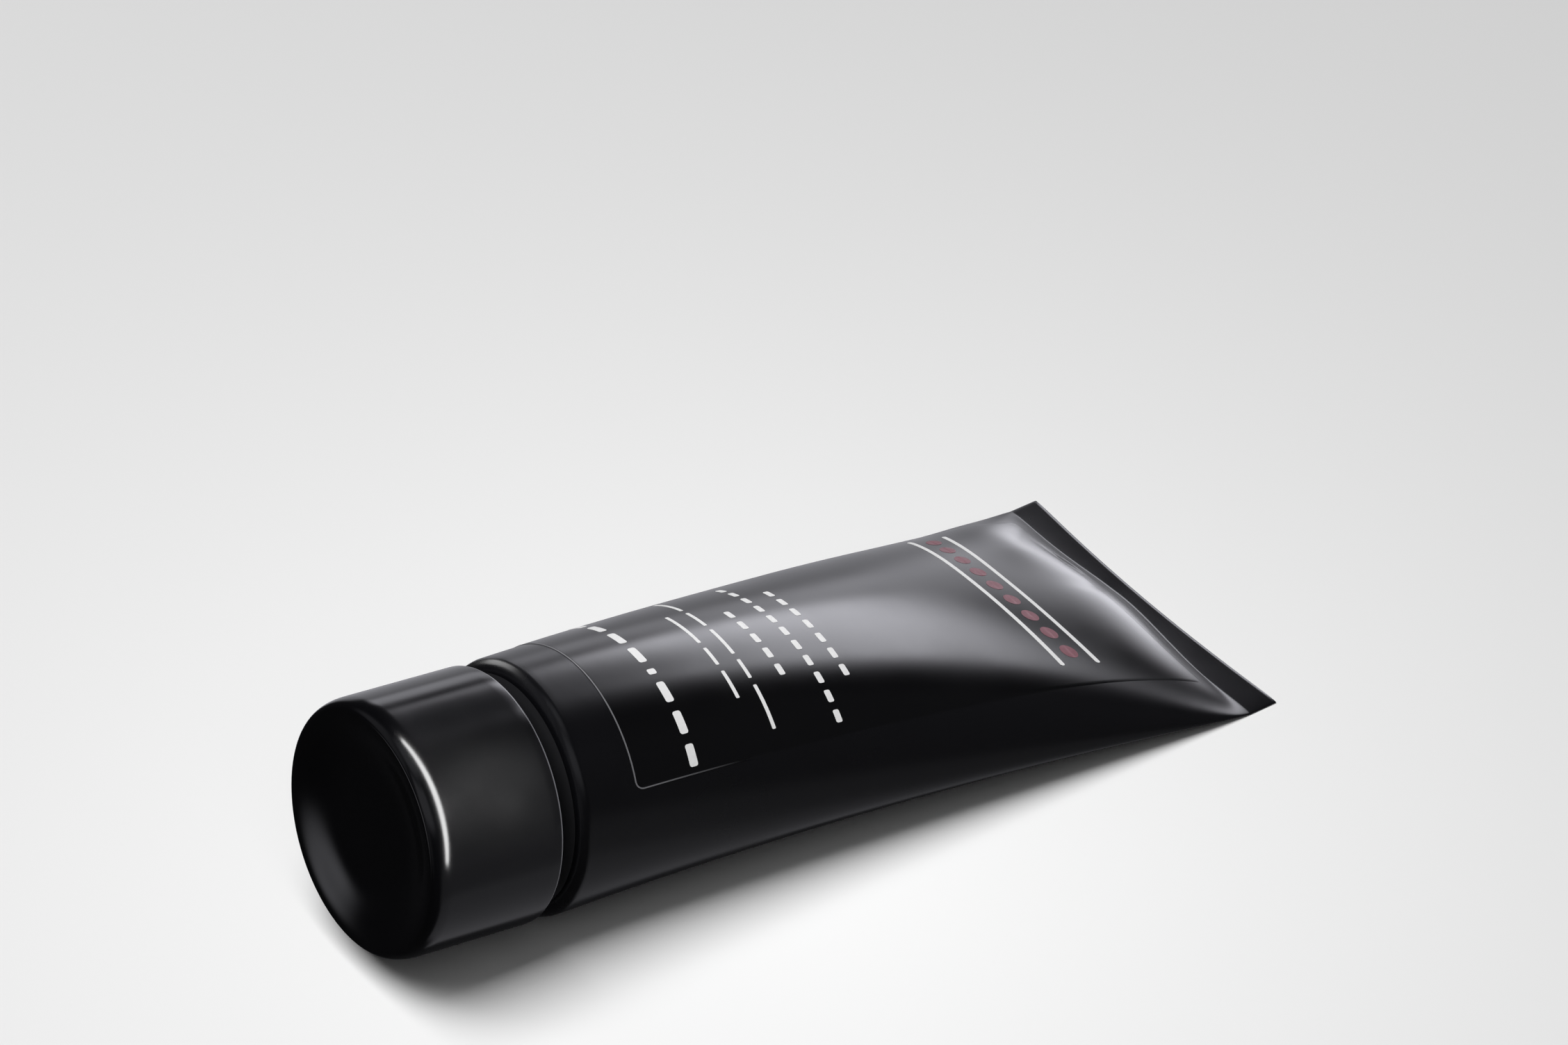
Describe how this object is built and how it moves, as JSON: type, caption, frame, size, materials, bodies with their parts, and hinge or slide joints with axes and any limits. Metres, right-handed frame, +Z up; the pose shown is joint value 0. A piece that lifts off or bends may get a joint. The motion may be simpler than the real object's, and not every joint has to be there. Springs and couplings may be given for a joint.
{
  "type": "squeeze tube with screw cap",
  "caption": "Flat-tailed plastic squeeze tube of cream lying on its side, with a wide round dished screw cap, a threaded neck and a thin label.",
  "frame": {"origin": "centre of the bounding box's underside, on the floor that the tube lies on", "axes": "+X along the floor from the cap to the welded tail, +Z up; the tube's axis falls 9.4 degrees from the cap towards the tail"},
  "size_m": [0.1703, 0.0706, 0.049],
  "materials": {
    "tube_plastic": "satin",
    "neck_plastic": "satin",
    "seal_foil": "satin",
    "label_film": "gloss",
    "print_white": "satin",
    "print_red": "satin",
    "cream": "satin",
    "liner_foam": "matte",
    "cap_gloss": "gloss",
    "cap_inner_plastic": "satin"
  },
  "bodies": {
    "tube": {"sleeve": "tube_plastic", "head": "neck_plastic", "peel_seal": "seal_foil", "front_label": "label_film", "cream": "cream"},
    "liner": {"cap_liner": "liner_foam"},
    "cap": {"cap_shell": "cap_gloss", "cap_core": "cap_inner_plastic"}
  },
  "joints": [
    {"name": "cap_lift", "type": "slide", "parent": "tube", "child": "liner", "axis": [-0.9866, 0, 0.1633], "range_m": [0, 0.018]},
    {"name": "cap_turn", "type": "hinge", "parent": "liner", "child": "cap", "pos_m": [-0.06911, 0, 0.02525], "axis": [-0.9866, 0, 0.1633], "range_deg": [0, 2160]}
  ],
  "couplings": [
    {"joint": "cap_lift", "follows": "cap_turn", "m_per_rad": 0.00047746}
  ]
}
